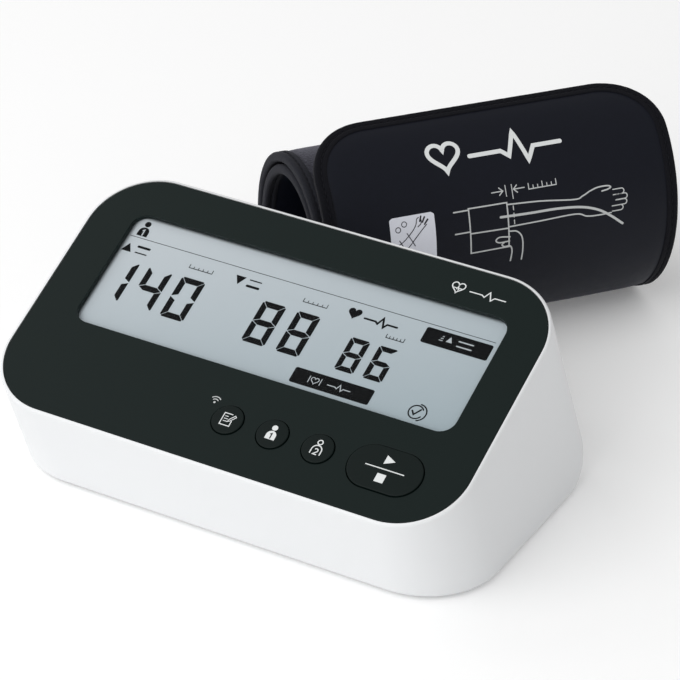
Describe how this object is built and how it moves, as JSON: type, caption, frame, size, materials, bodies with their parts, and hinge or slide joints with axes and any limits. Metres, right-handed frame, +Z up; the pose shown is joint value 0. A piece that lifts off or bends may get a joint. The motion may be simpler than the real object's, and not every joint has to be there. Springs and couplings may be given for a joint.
{
  "type": "upper arm blood pressure monitor",
  "caption": "Desktop blood pressure monitor with a sloping display panel and push buttons, and a rolled upper-arm cuff with a free flap lying behind it.",
  "frame": {"origin": "centre of the bounding box of the monitor and cuff together, on the surface they stand on", "axes": "+X to the user's right along the monitor's width, +Y from the user towards the rear, +Z up"},
  "size_m": [0.1912, 0.2848, 0.0927],
  "materials": {
    "white_plastic": "satin white moulding",
    "dark_panel": "smooth green-black panel",
    "clear_window": "clear window",
    "display_grey": "grey liquid crystal display",
    "black_plastic": "moulded black",
    "board_green": "solder mask",
    "steel": "bright plated",
    "motor_can": "plain can",
    "rubber": "matte black",
    "cell_jacket": "printed jacket, plain green",
    "satin_cloth": "smooth navy-black satin nylon",
    "velour": "brushed charcoal loop velour",
    "binding_tape": "woven black edge tape",
    "bladder_film": "soft film",
    "pale_plastic": "pale grey moulding"
  },
  "bodies": {
    "monitor": {"housing_shell": "white_plastic", "base_plate": "white_plastic", "front_panel": "dark_panel", "display_window": "clear_window", "lcd_module": "display_grey", "lcd_holder": "white_plastic", "main_board": "board_green", "controller_chip": "black_plastic", "wireless_module": "steel", "buzzer": "black_plastic", "pressure_sensor": "black_plastic", "memory_switch": "steel", "user_1_switch": "steel", "user_2_switch": "steel", "start_stop_switch": "steel", "pump_motor": "motor_can", "pump_head": "black_plastic", "exhaust_valve": "black_plastic", "air_manifold": "pale_plastic", "jack_hose": "rubber", "pump_hose": "rubber", "sensor_hose": "rubber", "air_jack": "pale_plastic", "power_socket": "black_plastic", "cell_1": "cell_jacket", "cell_2": "cell_jacket", "cell_3": "cell_jacket", "cell_4": "cell_jacket", "contact_spring_1": "steel", "contact_spring_2": "steel", "contact_spring_3": "steel", "contact_spring_4": "steel", "front_contacts": "steel", "rear_contacts": "steel", "foot_1": "rubber", "foot_2": "rubber", "foot_3": "rubber", "foot_4": "rubber", "case_screw_1": "steel", "case_screw_2": "steel", "case_screw_3": "steel", "case_screw_4": "steel"},
    "memory_button": {"memory_button": "dark_panel"},
    "memory_plunger": {"memory_plunger": "black_plastic"},
    "user_1_button": {"user_1_button": "dark_panel"},
    "user_1_plunger": {"user_1_plunger": "black_plastic"},
    "user_2_button": {"user_2_button": "dark_panel"},
    "user_2_plunger": {"user_2_plunger": "black_plastic"},
    "start_stop_button": {"start_stop_button": "dark_panel"},
    "start_stop_plunger": {"start_stop_plunger": "black_plastic"},
    "battery_cover": {"battery_cover": "white_plastic"},
    "cuff": {"roll_cover": "velour", "roll_lining": "satin_cloth", "bladder": "bladder_film", "curler_sheet": "pale_plastic", "roll_binding": "binding_tape", "tube_port": "pale_plastic"},
    "flap": {"flap_cover": "satin_cloth", "hook_patch": "velour", "flap_binding": "binding_tape"}
  },
  "joints": [
    {"name": "memory_press", "type": "slide", "parent": "monitor", "child": "memory_button", "axis": [0, 0.4368, -0.8996], "range_m": [0, 0.0007], "stiffness_N_per_m": 1500, "springref_m": -0.0003},
    {"name": "memory_plunger_press", "type": "slide", "parent": "monitor", "child": "memory_plunger", "axis": [0, 0.4368, -0.8996], "range_m": [0, 0.0007]},
    {"name": "user_1_press", "type": "slide", "parent": "monitor", "child": "user_1_button", "axis": [0, 0.4368, -0.8996], "range_m": [0, 0.0007], "stiffness_N_per_m": 1500, "springref_m": -0.0003},
    {"name": "user_1_plunger_press", "type": "slide", "parent": "monitor", "child": "user_1_plunger", "axis": [0, 0.4368, -0.8996], "range_m": [0, 0.0007]},
    {"name": "user_2_press", "type": "slide", "parent": "monitor", "child": "user_2_button", "axis": [0, 0.4368, -0.8996], "range_m": [0, 0.0007], "stiffness_N_per_m": 1500, "springref_m": -0.0003},
    {"name": "user_2_plunger_press", "type": "slide", "parent": "monitor", "child": "user_2_plunger", "axis": [0, 0.4368, -0.8996], "range_m": [0, 0.0007]},
    {"name": "start_stop_press", "type": "slide", "parent": "monitor", "child": "start_stop_button", "axis": [0, 0.4368, -0.8996], "range_m": [0, 0.0007], "stiffness_N_per_m": 1500, "springref_m": -0.0003},
    {"name": "start_stop_plunger_press", "type": "slide", "parent": "monitor", "child": "start_stop_plunger", "axis": [0, 0.4368, -0.8996], "range_m": [0, 0.0007]},
    {"name": "battery_cover_hinge", "type": "hinge", "parent": "monitor", "child": "battery_cover", "pos_m": [-0.03479, -0.11644, 0.0012], "axis": [-1, 0, 0], "range_deg": [0, 75]},
    {"name": "cuff_lift", "type": "slide", "parent": "monitor", "child": "cuff", "axis": [0, 0, 1], "range_m": [0, 0.15]},
    {"name": "flap_peel", "type": "hinge", "parent": "cuff", "child": "flap", "pos_m": [0.01583, 0.04517, 0.00955], "axis": [0.632, 0.7749, 0], "range_deg": [0, 15], "stiffness_Nm_per_rad": 0.5, "springref_deg": -5.73}
  ],
  "couplings": [
    {"joint": "memory_plunger_press", "follows": "memory_press", "ratio": 1},
    {"joint": "user_1_plunger_press", "follows": "user_1_press", "ratio": 1},
    {"joint": "user_2_plunger_press", "follows": "user_2_press", "ratio": 1},
    {"joint": "start_stop_plunger_press", "follows": "start_stop_press", "ratio": 1}
  ]
}
